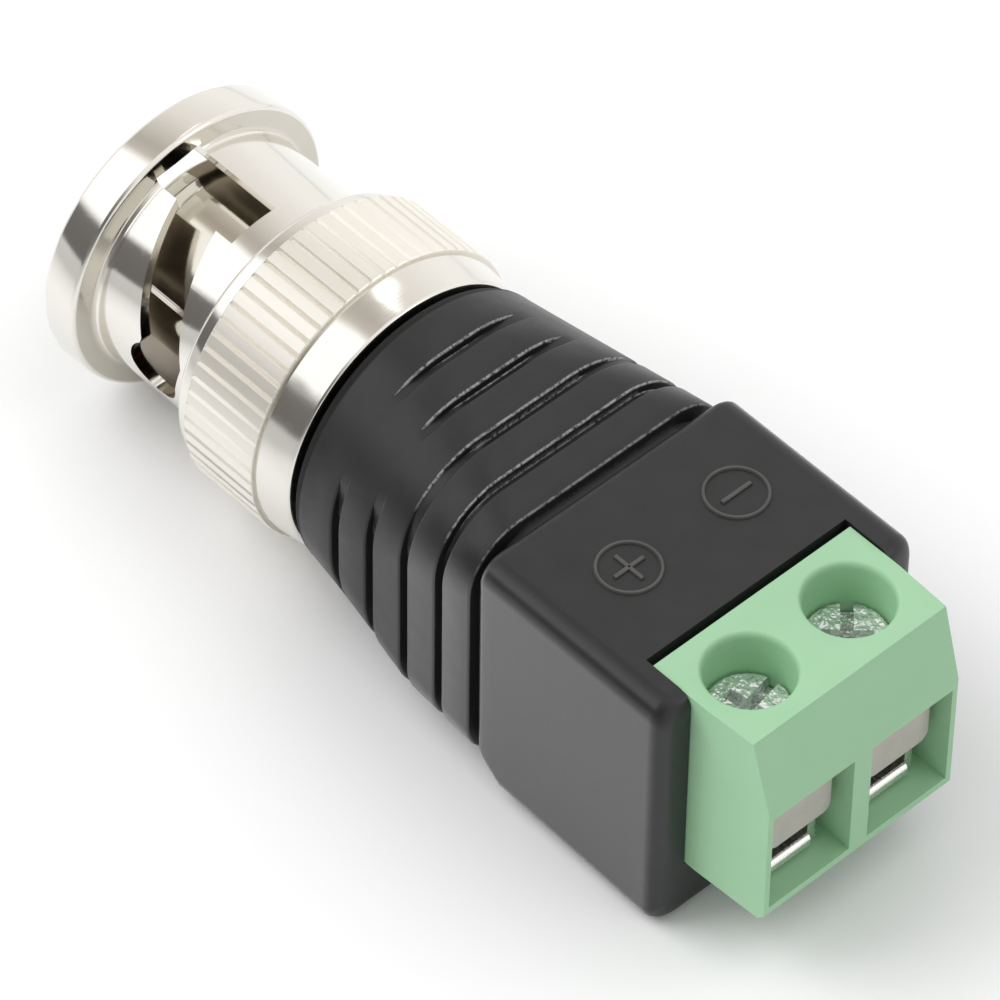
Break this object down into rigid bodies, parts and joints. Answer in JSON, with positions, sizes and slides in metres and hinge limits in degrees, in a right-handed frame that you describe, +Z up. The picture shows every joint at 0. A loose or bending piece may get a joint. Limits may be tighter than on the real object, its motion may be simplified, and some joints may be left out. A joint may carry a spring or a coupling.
{
  "type": "bnc screw terminal adapter",
  "caption": "Bayonet coaxial plug with a rotating knurled coupling nut, moulded in line with a green screw terminal block for bare wires.",
  "frame": {"origin": "on the plug's axis, at the front face of the coupling nut", "axes": "+X points out of the plug's mouth along its axis, +Y to the positive terminal's side, +Z up through the screw heads"},
  "size_m": [0.039, 0.0134, 0.0135],
  "materials": {
    "nickel": "polished nickel plate on brass",
    "spring_steel": "bright spring steel",
    "gasket_rubber": "red silicone",
    "white_plastic": "waxy white plastic",
    "gold_brass": "thin gold plate on brass",
    "black_plastic": "satin black moulding",
    "green_plastic": "pale green moulding",
    "tinned_brass": "dull tin plate",
    "zinc_steel": "bright zinc plate",
    "copper": "tinned copper wire",
    "sleeve_plastic": "soft red sleeving"
  },
  "bodies": {
    "adapter": {"moulded_body": "black_plastic", "plug_body": "nickel", "outer_contact": "nickel", "gasket": "gasket_rubber", "insulator": "white_plastic", "centre_pin": "gold_brass", "wave_washer": "spring_steel", "terminal_housing": "green_plastic", "positive_strip": "tinned_brass", "negative_strip": "tinned_brass", "centre_lead": "copper", "lead_sleeve": "sleeve_plastic", "ground_lead": "copper"},
    "washer": {"thrust_washer": "spring_steel"},
    "nut": {"coupling_nut": "nickel", "nut_ring": "spring_steel"},
    "positive_jaw": {"positive_cage": "zinc_steel"},
    "negative_jaw": {"negative_cage": "zinc_steel"},
    "positive_clamp_screw": {"positive_screw": "zinc_steel"},
    "negative_clamp_screw": {"negative_screw": "zinc_steel"}
  },
  "joints": [
    {"name": "nut_draw", "type": "slide", "parent": "adapter", "child": "washer", "axis": [1, 0, 0], "range_m": [0, 0.0007], "stiffness_N_per_m": 12000, "springref_m": -0.0002, "deforming": ["wave_washer"]},
    {"name": "nut_turn", "type": "hinge", "parent": "washer", "child": "nut", "pos_m": [-0.01, 0, 0], "axis": [1, 0, 0], "continuous": true},
    {"name": "positive_screw_turn", "type": "hinge", "parent": "adapter", "child": "positive_clamp_screw", "pos_m": [-0.03538, 0.00254, 0.003], "axis": [0, 0, 1], "range_deg": [-1080, 108]},
    {"name": "negative_screw_turn", "type": "hinge", "parent": "adapter", "child": "negative_clamp_screw", "pos_m": [-0.03538, -0.00254, 0.003], "axis": [0, 0, 1], "range_deg": [-1080, 108]},
    {"name": "positive_jaw_lift", "type": "slide", "parent": "adapter", "child": "positive_jaw", "axis": [0, 0, 1], "range_m": [-0.00015, 0.0015]},
    {"name": "negative_jaw_lift", "type": "slide", "parent": "adapter", "child": "negative_jaw", "axis": [0, 0, 1], "range_m": [-0.00015, 0.0015]}
  ],
  "couplings": [
    {"joint": "positive_screw_turn", "follows": "positive_jaw_lift", "rad_per_m": -12566},
    {"joint": "negative_screw_turn", "follows": "negative_jaw_lift", "rad_per_m": -12566}
  ]
}
